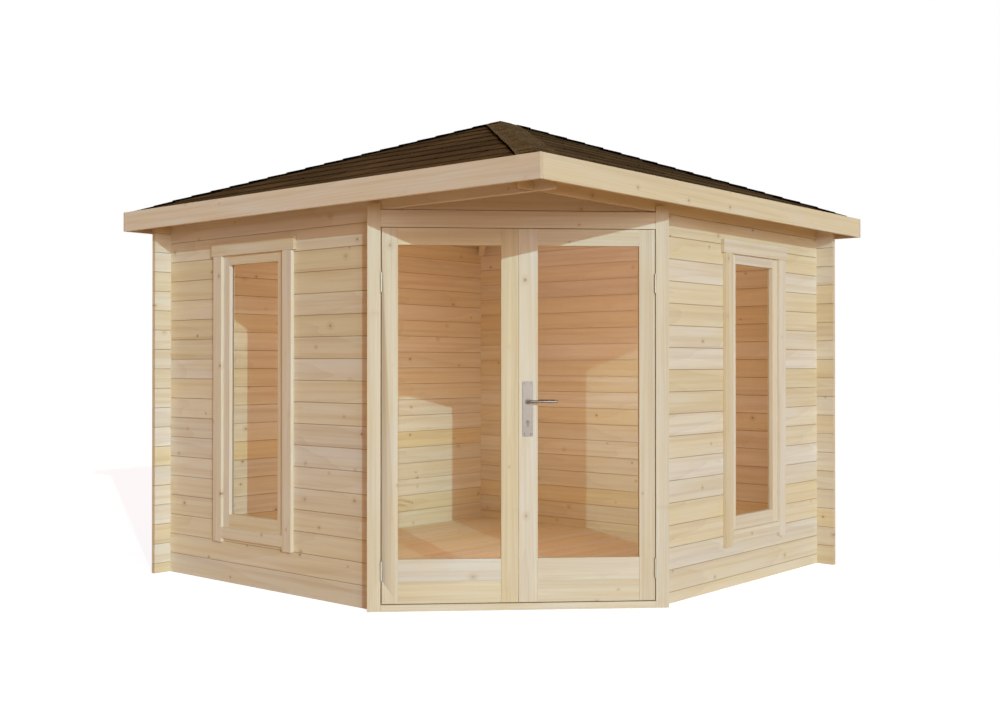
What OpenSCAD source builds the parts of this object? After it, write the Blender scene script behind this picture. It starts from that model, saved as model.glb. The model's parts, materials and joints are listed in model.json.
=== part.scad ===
// Square log garden house with a cut-off corner that holds a pair of glazed doors, under a low
// hipped roof. X runs along the front wall, Y into the depth, Z up. The door corner is at +X -Y.
// The roof's plan centre stands over the origin and the first logs lie on Z = 0. Sizes are in mm.

/* [Logs] */
// Height of one log course
log_h = 114; // [108:1:118]
// Thickness of a log
log_t = 28; // [24:1:32]
// Courses in the front and back walls
log_rows = 19; // [18:1:20]
// Length of a log's end beyond the crossing wall
log_end = 108; // [80:1:120]
// Width of the tongue along a log's top
tongue_w = 9; // [7:0.5:11]
// Height of the tongue
tongue_h = 8; // [6:0.5:9]
// Bevel along a log's long edges
log_bevel = 2.5; // [1:0.5:4]

/* [Walls] */
// Distance between the outer faces of opposite walls
wall_w = 2796; // [2600:2:2900]

/* [Doors] */
// Clear width between the door posts
door_w = 1380; // [1320:10:1400]
// Width of a door post
post_w = 67; // [55:1:75]
// How far a post's outer edge stands out of the walls
post_proud = 53; // [40:1:60]
// Height of the lintel
lintel_h = 89; // [75:1:100]
// Height of the threshold
sill_h = 34; // [28:1:45]
// Thickness of a door leaf
leaf_t = 34; // [30:1:40]
// Width of a leaf's stile on the hinge side
hang_w = 80; // [70:1:90]
// Width of a leaf's stile on the meeting side
meet_w = 89; // [80:1:95]
// Height of a leaf's top rail
rail_h = 82; // [70:1:95]
// Height of one of the two boards below a leaf's glass
panel_h = 109; // [90:1:120]

/* [Windows] */
// Distance of a window's centre from the outer face of the back or left wall
win_side = 815; // [790:1:840]
// Width of a window between its side casings
win_w = 532; // [480:4:560]
// Underside of a window's head casing
win_head = 1834; // [1800:2:1850]
// Width of the casings
casing_w = 76; // [60:1:84]
// How far the casings stand out of the wall
casing_t = 22; // [16:1:26]
// Face width of the window frame
sash_w = 53; // [40:1:60]

/* [Roof] */
// Gap between the fascia boards and the log ends of the back and left walls
far_gap = 22; // [10:2:40]
// Gap between the fascia boards and the log ends of the front and right walls
near_gap = 82; // [50:2:90]
// Rise of the roof for each millimetre of run
roof_rise = 0.367; // [0.3:0.001:0.4]
// How far the fascia boards stand above the plane of the roof boards
fascia_lap = 17; // [12:1:24]
// Height of the fascia boards
fascia_h = 113; // [95:1:120]
// Thickness of the fascia boards
fascia_t = 18; // [15:1:24]
// Thickness of the roof boards
deck_t = 18; // [15:1:22]
// Run of one course of shingles, measured level
course_run = 187; // [150:1:200]
// Thickness of a shingle at its butt
butt_t = 4; // [3:0.5:6]
// Caps along a hip
caps = 19; // [14:1:22]
// Width of a hip cap on each side of the hip
cap_w = 104; // [80:2:120]

/* [Hidden] */
$fn = 48;
eps = 0.01;
far = 4000;
// Gap between fitted pieces
fit = 0.3;
// Gap around a leaf that swings
swing = 5;

half_h = log_h / 2;
notch_h = log_h / 4;
wall_top = log_rows * log_h;
beam_z = wall_top - 1.5 * log_h;
roof_r = (wall_w + 2 * log_end + far_gap + near_gap) / 2 + fascia_t;
near_face = roof_r - fascia_t - near_gap - log_end;
far_face = roof_r - fascia_t - far_gap - log_end;
near_in = near_face - log_t;
far_in = far_face - log_t;
near_end = near_face + log_end;
far_end = far_face + log_end;

door_half = door_w / 2;
post_out = door_half + post_w;
door_off = (near_face + post_proud) * sqrt(2) - post_out;
post_d = 115;
post_top = beam_z + notch_h;
stop_w = 14;
stop_v = leaf_t + swing;
lintel_z = beam_z - fit - lintel_h;
leaf_lo = sill_h + swing;
leaf_hi = lintel_z - swing;
leaf_out = door_half - swing;
leaf_in = swing / 2 + 0.2;
leaf_bevel = 3;
panel_lo = leaf_lo;
glass_lo = panel_lo + 2 * panel_h;
glass_hi = leaf_hi - rail_h;
slot_v = leaf_t / 2 - 2.5;
slot_t = 5;
slot_d = 8;
pane_t = 4;
pane_in = slot_d - 1;

hinge_r = 5.5;
hinge_pin_r = 3;
hinge_h = 98;
hinge_u = door_half - swing + 1.5;
hinge_v = -hinge_r - 1;
hinge_rise = 115;
hinge_drop = 318;
hinge_lo = leaf_lo + hinge_rise;
hinge_hi = leaf_hi - hinge_drop;
flap_t = 1.8;
flap_d = 29;

lever_u = leaf_in + 39;
lever_z = 1040;
lever_len = 138;
lever_reach = 50;
lever_r = 5.5;
neck_r = 9;
plate_w = 52;
plate_h = 275;
plate_z = lever_z - 175;
plate_t = 4;
key_z = lever_z - 104;

win_c = far_face - win_side;
win_lo = 2.5 * log_h;
win_hi = win_head + 8;
sash_out = 6;
sash_t = 34;
pane_v = 18;
sash_lo = win_lo + fit;
sash_hi = win_hi - fit;
sash_half = win_w / 2 + 4 - fit;
sill_up = 25;
win_sill_h = 62;
casing_foot = 23;
low_rail_h = 74;
sill_top = win_lo + sill_up;
sill_low = sill_top - win_sill_h;
pane_lo = sill_top + low_rail_h;
pane_hi = win_head - sash_w;
pane_half = win_w / 2 - sash_w;
head_over = 20;

bearers = 5;
bearer_h = 42;
bearer_w = 45;
bearer_pitch = (near_in + far_in - 2 - bearer_w) / (bearers - 1);
floor_t = 18;
floor_z = bearer_h + fit;
floor_cut = door_off - post_d - 2 * fit;

roof_a = atan(roof_rise);
fascia_top = wall_top - 47;
fascia_in = roof_r - fascia_t;
roof_z = fascia_top - fascia_lap;
deck_v = deck_t / cos(roof_a);
cover_r = fascia_in - fit;
courses = ceil(cover_r / course_run);
cover_low = fit;
rafter_w = 45;
rafter_h = 95;
hip_a = atan(roof_rise / sqrt(2));
apex_under = roof_z + roof_r * roof_rise - deck_v;
block_half = 55;
hip_turn = atan(1 / cos(roof_a));
hip_stretch = sqrt(2 + roof_rise * roof_rise);
cap_start = roof_r - cover_r + cap_w / sqrt(2);
hip_len = (roof_r - cap_start) * hip_stretch;
cap_pitch = hip_len / caps;
cap_lift = 2 * butt_t * cos(roof_a) + fit;

// ---- Roof planes: side 0 faces -Y, and each side after it is a quarter turn on ----

// Slab that lies along the front slope between two heights above the roof boards' top
module slope_slab(low, high) {
    translate([0, -roof_r, roof_z])
        rotate([roof_a, 0, 0])
            translate([-far, -far / 6, low * cos(roof_a)])
                cube([2 * far, far, (high - low) * cos(roof_a)]);
}

// Column over the front quarter of the plan, held off the hips by a gap
module quarter(reach, gap) {
    linear_extrude(height = far)
        polygon([[0, -gap], [reach - gap, -reach], [gap - reach, -reach]]);
}

// Everything below the roof boards
module under_roof() {
    intersection_for(side = [0:3])
        rotate([0, 0, 90 * side])
            slope_slab(-far, -deck_v - fit);
}

// Space between the inner faces of the four walls
module room() {
    translate([-far_in + fit, -near_in + fit, -eps])
        cube([far_in + near_in - 2 * fit, far_in + near_in - 2 * fit, far]);
}

// ---- Logs ----

// Log along +X with its outer face on y = 0 and its thickness towards +Y
module log_bar(length, low, high, grooved, tongued) {
    z0 = low + fit / 2;
    z1 = high - fit / 2;
    b = log_bevel;
    m = log_t / 2;
    g = tongue_w / 2 + 0.4;
    t = tongue_w / 2;
    d = tongue_h + 0.6;
    foot = grooved
        ? [[0, z0 + b], [b, z0], [m - g, z0], [m - g, z0 + d], [m + g, z0 + d], [m + g, z0],
           [log_t - b, z0], [log_t, z0 + b]]
        : [[0, z0 - fit / 2], [log_t, z0 - fit / 2]];
    head = tongued
        ? [[log_t, z1 - b], [log_t - b, z1], [m + t, z1], [m + t, z1 + tongue_h],
           [m - t, z1 + tongue_h], [m - t, z1], [b, z1], [0, z1 - b]]
        : [[log_t, z1], [0, z1]];
    rotate([90, 0, 90])
        linear_extrude(height = length)
            polygon(concat(foot, head));
}

// Notches that a crossing wall needs in logs that start at z = phase
module notches(phase) {
    for (row = [0:log_rows - 1])
        translate([-log_t / 2 - fit, -eps, phase + row * log_h - notch_h - fit / 2])
            cube([log_t + 2 * fit, log_t + 2 * eps, 2 * notch_h + fit]);
}

// Full courses of a front or back wall, outer face on y = 0, from x = -far_end
module even_logs(rows) {
    for (row = rows)
        translate([-far_end, 0, 0])
            log_bar(far_end + near_end, row * log_h, (row + 1) * log_h, row > 0, row < log_rows - 1);
}

// Courses of a side wall, a half log first, outer face on y = 0, from x = -near_end
module odd_logs(rows) {
    for (row = rows)
        translate([-near_end, 0, 0])
            log_bar(far_end + near_end, max(0, (row - 0.5) * log_h), (row + 0.5) * log_h,
                    row > 0, true);
}

// Last log of a front or back wall, which the roof boards bevel
module even_top() {
    translate([-far_end, 0, 0])
        log_bar(far_end + near_end, wall_top - log_h, wall_top + half_h, true, false);
}

// Last half log of a side wall, between the walls it meets
module odd_top() {
    translate([-near_in + fit, 0, 0])
        log_bar(far_in + near_in - 2 * fit, wall_top - half_h, wall_top + half_h, true, false);
}

// Opening for a window centred on x = 0 in a wall whose outer face is on y = 0
module window_gap() {
    translate([-win_w / 2 - 4, -far / 2, win_lo])
        cube([win_w + 8, far, win_hi - win_lo]);
}

module front_wall() {
    color("burlywood")
        intersection() {
            difference() {
                union() {
                    difference() {
                        translate([0, -near_face, 0])
                            even_logs([0:log_rows - 2]);
                        front_end();
                    }
                    translate([0, -near_face, 0])
                        even_top();
                }
                translate([-far_face + log_t / 2, -near_face, 0])
                    notches(0);
                translate([near_face - log_t / 2, -near_face, 0])
                    notches(0);
                translate([-win_c, -near_face, 0])
                    window_gap();
            }
            under_roof();
        }
}

// What the door corner takes off the logs below the front wall's last one
module front_end() {
    at_door()
        translate([-post_out - fit, -far / 2, -eps])
            cube([far, far, far]);
}

module right_wall() {
    color("burlywood")
        intersection() {
            difference() {
                union() {
                    difference() {
                        translate([near_face, 0, 0])
                            rotate([0, 0, 90])
                                odd_logs([0:log_rows - 2]);
                        right_end();
                    }
                    translate([near_face, 0, 0])
                        rotate([0, 0, 90]) {
                            odd_logs([log_rows - 1:log_rows - 1]);
                            odd_top();
                        }
                }
                translate([near_face, -near_face + log_t / 2, 0])
                    rotate([0, 0, 90])
                        notches(half_h);
                translate([near_face, far_face - log_t / 2, 0])
                    rotate([0, 0, 90])
                        notches(half_h);
                translate([near_face, win_c, 0])
                    rotate([0, 0, 90])
                        window_gap();
                post_place();
            }
            under_roof();
        }
}

// What the door corner takes off the logs below the right wall's beam
module right_end() {
    at_door()
        translate([post_out + fit - far, -far / 2, -eps])
            cube([far, far, far]);
}

// Room for both posts in what runs over them
module post_place() {
    at_door()
        for (turn = [0, 1])
            mirror([turn, 0, 0]) {
                translate([door_half - fit, -far / 2, -eps])
                    cube([post_w + 2 * fit, far / 2 + post_d + fit, post_top + fit]);
                translate([door_half - stop_w - fit, stop_v - fit, -eps])
                    cube([post_w, post_d - stop_v + 2 * fit, post_top + fit]);
            }
}

module back_wall() {
    color("burlywood")
        intersection() {
            difference() {
                translate([0, far_in, 0]) {
                    even_logs([0:log_rows - 2]);
                    even_top();
                }
                translate([-far_face + log_t / 2, far_in, 0])
                    notches(0);
                translate([near_face - log_t / 2, far_in, 0])
                    notches(0);
            }
            under_roof();
        }
}

module left_wall() {
    color("burlywood")
        intersection() {
            difference() {
                translate([-far_in, 0, 0])
                    rotate([0, 0, 90]) {
                        odd_logs([0:log_rows - 1]);
                        odd_top();
                    }
                translate([-far_in, -near_face + log_t / 2, 0])
                    rotate([0, 0, 90])
                        notches(half_h);
                translate([-far_in, far_face - log_t / 2, 0])
                    rotate([0, 0, 90])
                        notches(half_h);
            }
            under_roof();
        }
}

// Half log under the front wall's last log, from over the post to the crossing
module front_beam() {
    color("burlywood")
        difference() {
            translate([0, -near_face, 0])
                log_bar(near_end, beam_z, beam_z + half_h, false, true);
            translate([near_face - log_t / 2, -near_face, 0])
                notches(0);
            at_door()
                translate([-post_out - fit - far, -far / 2, -eps])
                    cube([far + fit, far, far]);
            post_place();
        }
}

// ---- Door corner: x = 0 in its middle, y = 0 on its outer face, +Y into the house ----

module at_door() {
    translate([door_off / sqrt(2), -door_off / sqrt(2), 0])
        rotate([0, 0, 45])
            children();
}

module corner_boards() {
    color("burlywood")
        difference() {
            intersection() {
                at_door()
                    for (row = [0:2])
                        translate([-post_out, 0, beam_z + row * log_h + fit / 2])
                            cube([2 * post_out, log_t, log_h - fit]);
                room();
                under_roof();
            }
            rafter(3, fit);
        }
}

module post() {
    linear_extrude(height = post_top)
        polygon([[door_half, 0], [post_out, 0], [post_out, post_d], [door_half - stop_w, post_d],
                 [door_half - stop_w, stop_v], [door_half, stop_v]]);
}

module door_posts() {
    color("wheat")
        at_door()
            difference() {
                union() {
                    post();
                    mirror([1, 0, 0])
                        post();
                }
                for (turn = [0, 1])
                    mirror([turn, 0, 0])
                        for (z = [hinge_lo, hinge_hi])
                            translate([door_half - eps, -eps, z - fit])
                                cube([flap_t + fit, flap_d + fit, hinge_h + 2 * fit]);
            }
}

module lintel() {
    color("wheat")
        at_door()
            translate([-door_half + stop_w + fit, 0, 0])
                rotate([90, 0, 90])
                    linear_extrude(height = door_w - 2 * stop_w - 2 * fit)
                        polygon([[stop_v, lintel_z - stop_w], [stop_v + 25, lintel_z - stop_w],
                                 [stop_v + 25, beam_z - fit], [stop_v, beam_z - fit]]);
    color("wheat")
        at_door()
            translate([-door_half + fit, 0, lintel_z])
                cube([door_w - 2 * fit, stop_v - fit, lintel_h]);
}

module threshold() {
    color("wheat")
        at_door() {
            translate([-door_half + fit, 0, 0])
                cube([door_w - 2 * fit, stop_v - fit, sill_h]);
            translate([-door_half + stop_w + fit, stop_v, 0])
                cube([door_w - 2 * stop_w - 2 * fit, 30, sill_h + stop_w]);
        }
}

// ---- Floor ----

// Plan of the floor, with the door corner cut off
module floor_column(height) {
    intersection() {
        translate([-far_in + 1, -near_in + 1, 0])
            cube([far_in + near_in - 2, far_in + near_in - 2, height]);
        rotate([0, 0, 45])
            translate([-far, -floor_cut, -eps])
                cube([2 * far, 2 * far, height + 2 * eps]);
    }
}

module floor_bearers() {
    color("tan")
        intersection() {
            for (row = [0:bearers - 1])
                translate([-far, -near_in + 1 + row * bearer_pitch, 0])
                    cube([2 * far, bearer_w, bearer_h]);
            floor_column(bearer_h);
        }
}

module floor() {
    color("tan")
        translate([0, 0, floor_z])
            floor_column(floor_t);
}

// ---- Windows: centred on x = 0, wall's outer face on y = 0, +Y into the house ----

module front_place() {
    translate([-win_c, -near_face, 0])
        children();
}

module right_place() {
    translate([near_face, win_c, 0])
        rotate([0, 0, 90])
            children();
}

module window_frame() {
    difference() {
        translate([-sash_half, -sash_out, sash_lo])
            cube([2 * sash_half, sash_t, sash_hi - sash_lo]);
        translate([-pane_half, -far / 2, pane_lo])
            cube([2 * pane_half, far, pane_hi - pane_lo]);
        translate([-pane_half - slot_d, pane_v, pane_lo - slot_d])
            cube([2 * pane_half + 2 * slot_d, slot_t, pane_hi - pane_lo + 2 * slot_d]);
        translate([-far / 2, -far - fit, 0])
            cube([far, far, sill_top + fit]);
        translate([-far / 2, -far - fit, win_head - fit])
            cube([far, far, far]);
        for (turn = [0, 1])
            mirror([turn, 0, 0])
                translate([win_w / 2 - fit, -far - fit, 0])
                    cube([far, far, far]);
    }
}

module window_pane() {
    translate([-pane_half - pane_in, pane_v + (slot_t - pane_t) / 2, pane_lo - pane_in])
        cube([2 * (pane_half + pane_in), pane_t, pane_hi - pane_lo + 2 * pane_in]);
}

module window_casing() {
    for (turn = [0, 1])
        mirror([turn, 0, 0])
            translate([win_w / 2, -casing_t - fit, sill_low - casing_foot])
                cube([casing_w, casing_t, win_head - sill_low + casing_foot - fit]);
    translate([-win_w / 2 - casing_w - head_over, -casing_t - fit, win_head])
        cube([win_w + 2 * casing_w + 2 * head_over, casing_t, casing_w]);
}

module window_sill() {
    translate([-win_w / 2 + fit, -casing_t - fit, sill_low])
        cube([win_w - 2 * fit, casing_t, sill_top - sill_low]);
}

module front_window_frame() {
    color("wheat")
        front_place()
            window_frame();
}

module front_window_glass() {
    color("lightblue")
        front_place()
            window_pane();
}

module front_window_casing() {
    color("wheat")
        front_place()
            window_casing();
}

module front_window_sill() {
    color("wheat")
        front_place()
            window_sill();
}

module right_window_frame() {
    color("wheat")
        right_place()
            window_frame();
}

module right_window_glass() {
    color("lightblue")
        right_place()
            window_pane();
}

module right_window_casing() {
    color("wheat")
        right_place()
            window_casing();
}

module right_window_sill() {
    color("wheat")
        right_place()
            window_sill();
}

// ---- Roof ----

// Rafter under the hip that starts at plan angle 45 + 90 * side, with room around it
module rafter(side, room_around) {
    rotate([0, 0, 45 + 90 * side])
        translate([0, -rafter_w / 2 - room_around, apex_under])
            rotate([0, hip_a, 0])
                translate([0, 0, -rafter_h - room_around])
                    cube([far, rafter_w + 2 * room_around, rafter_h + 60]);
}

module hip_rafters() {
    color("burlywood")
        intersection() {
            difference() {
                union()
                    for (side = [0:3])
                        rafter(side, 0);
                rotate([0, 0, 45])
                    translate([-block_half - fit, -block_half - fit, 0])
                        cube([2 * block_half + 2 * fit, 2 * block_half + 2 * fit, far]);
            }
            room();
            under_roof();
        }
}

module apex_block() {
    color("burlywood")
        intersection() {
            rotate([0, 0, 45])
                translate([-block_half, -block_half, apex_under - 150])
                    cube([2 * block_half, 2 * block_half, far]);
            under_roof();
        }
}

module deck() {
    intersection() {
        slope_slab(-deck_v, 0);
        quarter(fascia_in - fit, fit);
    }
}

// Outline of a slope's shingles: [distance from their lower edge, height], a step at each course
function course_points() = [
    for (row = [0:courses - 1])
        for (end = [0, 1])
            let (y = min((row + end) * course_run, cover_r))
                [y, y * roof_rise + butt_t * (2 - end)]
];

module shingles() {
    intersection() {
        translate([-roof_r, -cover_r, roof_z + (roof_r - cover_r) * roof_rise])
            rotate([90, 0, 90])
                linear_extrude(height = 2 * roof_r)
                    polygon(concat([[0, cover_low]], course_points(),
                                   [[cover_r, cover_r * roof_rise + cover_low]]));
        quarter(cover_r + 1, fit);
    }
}

// Outline of a row of caps: [distance up the hip, height], a step at each cap
function cap_points() = [
    for (row = [0:caps - 1])
        for (end = [0, 1])
            [(row + end) * cap_pitch, butt_t * (2 - end)]
];

// Caps on the front slope beside its left hip, up to the middle of the slope
module cap_wing() {
    intersection() {
        translate([-roof_r, -roof_r, roof_z])
            rotate([roof_a, 0, 0])
                translate([0, 0, cap_lift])
                    rotate([0, 0, hip_turn])
                        translate([cap_start * hip_stretch, 20, 0])
                            rotate([90, 0, 0])
                                linear_extrude(height = cap_w + 20)
                                    polygon(concat([[0, 0]], cap_points(), [[hip_len, 0]]));
        quarter(cover_r + 1, fit / 2);
        translate([-far - fit / 2, -far, 0])
            cube([far, far, far]);
    }
}

module hip_caps() {
    color("saddlebrown")
        for (side = [0:3])
            rotate([0, 0, 90 * side]) {
                cap_wing();
                mirror([1, 0, 0])
                    cap_wing();
            }
}

// Fascia board along the front edge; an end that another board covers stops short of the corner
module fascia(left_covered, right_covered) {
    left = left_covered ? fascia_in - fit : roof_r;
    right = right_covered ? fascia_in - fit : roof_r;
    translate([-left, -roof_r, fascia_top - fascia_h])
        cube([left + right, fascia_t, fascia_h]);
}

module front_deck() {
    color("burlywood")
        deck();
}

module right_deck() {
    color("burlywood")
        rotate([0, 0, 90])
            deck();
}

module back_deck() {
    color("burlywood")
        rotate([0, 0, 180])
            deck();
}

module left_deck() {
    color("burlywood")
        rotate([0, 0, 270])
            deck();
}

module front_shingles() {
    color("saddlebrown")
        shingles();
}

module right_shingles() {
    color("saddlebrown")
        rotate([0, 0, 90])
            shingles();
}

module back_shingles() {
    color("saddlebrown")
        rotate([0, 0, 180])
            shingles();
}

module left_shingles() {
    color("saddlebrown")
        rotate([0, 0, 270])
            shingles();
}

module front_fascia() {
    color("wheat")
        fascia(true, false);
}

module right_fascia() {
    color("wheat")
        rotate([0, 0, 90])
            fascia(true, true);
}

module back_fascia() {
    color("wheat")
        rotate([0, 0, 180])
            fascia(false, true);
}

module left_fascia() {
    color("wheat")
        rotate([0, 0, 270])
            fascia(false, false);
}

// ---- Door leaves, drawn as the right one and mirrored for the left one ----

module leaf_frame() {
    difference() {
        union() {
            translate([leaf_out - hang_w, 0, leaf_lo])
                cube([hang_w, leaf_t, leaf_hi - leaf_lo]);
            translate([0, 0, leaf_lo])
                linear_extrude(height = leaf_hi - leaf_lo)
                    polygon([[leaf_in, 0], [leaf_in + meet_w, 0], [leaf_in + meet_w, leaf_t],
                             [leaf_in + leaf_bevel, leaf_t]]);
        }
        translate([leaf_in + meet_w - slot_d, slot_v, -eps])
            cube([leaf_out - leaf_in - meet_w - hang_w + 2 * slot_d, slot_t, far]);
        for (z = [hinge_lo, hinge_hi])
            translate([leaf_out - flap_t - fit, -eps, z - fit])
                cube([far, flap_d + fit, hinge_h + 2 * fit]);
    }
    difference() {
        leaf_bar(glass_hi, leaf_hi);
        translate([-eps, slot_v, glass_hi - eps])
            cube([far, slot_t, slot_d]);
    }
}

// Bar between the stiles, with a tongue in each one's slot
module leaf_bar(low, high) {
    left = leaf_in + meet_w + fit;
    right = leaf_out - hang_w - fit;
    translate([left, 0, low])
        cube([right - left, leaf_t, high - low]);
    translate([left - pane_in, slot_v + 0.5, low])
        cube([right - left + 2 * pane_in, pane_t, high - low]);
}

module leaf_panel() {
    leaf_bar(panel_lo, panel_lo + panel_h - fit / 2);
    difference() {
        leaf_bar(panel_lo + panel_h + fit / 2, glass_lo);
        translate([-eps, slot_v, glass_lo - slot_d])
            cube([far, slot_t, far]);
    }
}

module leaf_glass() {
    translate([leaf_in + meet_w - pane_in, slot_v + 0.5, glass_lo - pane_in])
        cube([leaf_out - leaf_in - meet_w - hang_w + 2 * pane_in, pane_t,
              glass_hi - glass_lo + 2 * pane_in]);
}

// The knuckle's half that turns with the leaf, and its flap
module leaf_hinges() {
    for (z = [hinge_lo, hinge_hi])
        difference() {
            union() {
                translate([hinge_u, hinge_v, z + hinge_h / 2 + 0.5])
                    cylinder(r = hinge_r, h = hinge_h / 2 - 0.5);
                translate([leaf_out - flap_t, hinge_v, z + hinge_h / 2 + 0.5])
                    cube([flap_t, flap_d - hinge_v, hinge_h / 2 - 0.5]);
            }
            translate([hinge_u, hinge_v, z])
                cylinder(r = hinge_pin_r + 0.1, h = hinge_h - 4);
        }
}

// The half that stays on the post, with the pin the leaf turns on
module post_hinges() {
    for (z = [hinge_lo, hinge_hi])
        union() {
            translate([hinge_u, hinge_v, z])
                cylinder(r = hinge_r, h = hinge_h / 2 - 0.5);
            translate([hinge_u, hinge_v, z])
                cylinder(r = hinge_pin_r, h = hinge_h - 6);
            translate([hinge_u, hinge_v, z])
                cube([door_half - hinge_u + flap_t, flap_t, hinge_h / 2 - 0.5]);
            translate([door_half, hinge_v, z])
                cube([flap_t, flap_d - hinge_v, hinge_h / 2 - 0.5]);
        }
}

module hinge_pins() {
    color("dimgray")
        at_door() {
            post_hinges();
            mirror([1, 0, 0])
                post_hinges();
        }
}

module left_door_frame() {
    color("wheat")
        at_door()
            mirror([1, 0, 0])
                leaf_frame();
}

module left_door_panel() {
    color("wheat")
        at_door()
            mirror([1, 0, 0])
                leaf_panel();
}

module left_door_glass() {
    color("lightblue")
        at_door()
            mirror([1, 0, 0])
                leaf_glass();
}

module left_door_hinges() {
    color("dimgray")
        at_door()
            mirror([1, 0, 0])
                leaf_hinges();
}

module right_door_frame() {
    color("wheat")
        at_door()
            difference() {
                leaf_frame();
                translate([lever_u, -eps, lever_z])
                    rotate([-90, 0, 0])
                        cylinder(r = neck_r + 1, h = leaf_t + 2 * eps);
            }
}

module right_door_panel() {
    color("wheat")
        at_door()
            leaf_panel();
}

module right_door_glass() {
    color("lightblue")
        at_door()
            leaf_glass();
}

module right_door_hinges() {
    color("dimgray")
        at_door()
            leaf_hinges();
}

// Long plates on both faces of the stile
module lock_plates() {
    color("silver")
        at_door()
            for (v = [-plate_t - fit, leaf_t + fit])
                difference() {
                    translate([lever_u - plate_w / 2, v, plate_z])
                        cube([plate_w, plate_t, plate_h]);
                    translate([lever_u, v - 1, lever_z])
                        rotate([-90, 0, 0])
                            cylinder(r = neck_r + 1, h = plate_t + 2);
                    translate([lever_u, v - 1, key_z])
                        rotate([-90, 0, 0])
                            cylinder(r = 8.5, h = plate_t + 2);
                    translate([lever_u - 5, v - 1, key_z - 24])
                        cube([10, plate_t + 2, 22]);
                }
}

// Outer and inner lever on one spindle
module lever() {
    color("silver")
        at_door()
            translate([lever_u, 0, lever_z])
                rotate([-90, 0, 0]) {
                    translate([0, 0, -lever_reach])
                        cylinder(r = neck_r, h = lever_reach + leaf_t + lever_reach);
                    for (v = [-lever_reach + neck_r, leaf_t + lever_reach - neck_r])
                        translate([0, 0, v])
                            rotate([0, 90, 0])
                                cylinder(r = lever_r, h = lever_len);
                }
}

front_wall();
right_wall();
back_wall();
left_wall();
front_beam();
corner_boards();
door_posts();
lintel();
threshold();
floor_bearers();
floor();
front_window_frame();
front_window_glass();
front_window_casing();
front_window_sill();
right_window_frame();
right_window_glass();
right_window_casing();
right_window_sill();
hip_rafters();
apex_block();
front_deck();
right_deck();
back_deck();
left_deck();
front_shingles();
right_shingles();
back_shingles();
left_shingles();
hip_caps();
front_fascia();
right_fascia();
back_fascia();
left_fascia();
hinge_pins();
left_door_frame();
left_door_panel();
left_door_glass();
left_door_hinges();
right_door_frame();
right_door_panel();
right_door_glass();
right_door_hinges();
lock_plates();
lever();
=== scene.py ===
import bpy
import bmesh
import json
import math
import random
from mathutils import Matrix, Vector

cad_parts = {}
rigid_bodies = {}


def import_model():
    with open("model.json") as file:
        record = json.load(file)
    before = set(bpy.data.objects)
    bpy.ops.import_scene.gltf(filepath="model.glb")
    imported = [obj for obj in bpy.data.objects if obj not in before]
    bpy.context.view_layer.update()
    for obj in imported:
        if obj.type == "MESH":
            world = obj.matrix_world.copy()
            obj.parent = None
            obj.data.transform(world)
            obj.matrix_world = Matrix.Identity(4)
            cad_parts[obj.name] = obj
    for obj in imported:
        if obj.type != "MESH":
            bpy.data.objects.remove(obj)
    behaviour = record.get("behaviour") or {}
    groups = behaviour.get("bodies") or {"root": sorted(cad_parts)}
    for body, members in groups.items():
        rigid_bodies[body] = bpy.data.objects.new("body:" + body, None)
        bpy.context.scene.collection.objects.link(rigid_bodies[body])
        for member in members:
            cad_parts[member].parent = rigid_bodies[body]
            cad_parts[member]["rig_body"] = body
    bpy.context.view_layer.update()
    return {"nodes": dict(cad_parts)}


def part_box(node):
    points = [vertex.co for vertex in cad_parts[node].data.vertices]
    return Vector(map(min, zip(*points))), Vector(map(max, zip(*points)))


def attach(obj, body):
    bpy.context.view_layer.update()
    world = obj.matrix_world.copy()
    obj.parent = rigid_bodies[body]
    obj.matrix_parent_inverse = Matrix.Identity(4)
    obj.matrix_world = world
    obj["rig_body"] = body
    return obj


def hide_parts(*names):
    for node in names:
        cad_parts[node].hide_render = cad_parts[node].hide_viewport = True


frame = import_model()
cadNodes = frame["nodes"]
random.seed(11)
print("frame loaded:", len(cadNodes), "nodes")

cadFit = 0.0003  # the model's gap between fitted pieces, in metres as all lengths here

# The roof's planes: rise for each metre of run, half sides of fascias and shingles, and the boards' top at the eaves
roof = dict(rise=0.367, edge=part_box("front_fascia")[1].x, cover=-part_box("front_shingles")[0].y)
roof["angle"] = math.atan(roof["rise"])
roof["eaveZ"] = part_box("front_shingles")[0].z - cadFit - (roof["edge"] - roof["cover"]) * roof["rise"]
frontSlope = Vector((0, math.cos(roof["angle"]), math.sin(roof["angle"])))  # straight up the front slope

# The door corner: its plane stands at 45 degrees, u runs along it and v into the house
doorTurn = Matrix.Rotation(math.radians(45), 4, "Z")
doorOut = Vector((math.sqrt(0.5), -math.sqrt(0.5), 0))
doorOff = max(Vector(v.co).dot(doorOut) for v in cadNodes["door_posts"].data.vertices)
doorPlace = Matrix.Translation(doorOut * doorOff) @ doorTurn


# An sRGB hex colour as linear red, green, blue and alpha
def linear(hexColour):
    parts = [int(hexColour[i:i + 2], 16) / 255 for i in (1, 3, 5)]
    return tuple(p / 12.92 if p <= 0.04045 else ((p + 0.055) / 1.055) ** 2.4 for p in parts) + (1.0,)


# Adds one node: settings go to its options or its sockets, links join sockets of other nodes to it
def addNode(tree, kind, settings={}, links={}):
    made = tree.nodes.new(kind)
    for name, value in settings.items():
        if isinstance(name, str) and hasattr(made, name):
            setattr(made, name, value)
        else:
            made.inputs[name].default_value = value
    for name, source in links.items():
        tree.links.new(source, made.inputs[name])
    return made


def newMaterial(name):
    material = bpy.data.materials.new(name)
    material.use_nodes = True
    material.node_tree.nodes.clear()
    return material, material.node_tree


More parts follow.
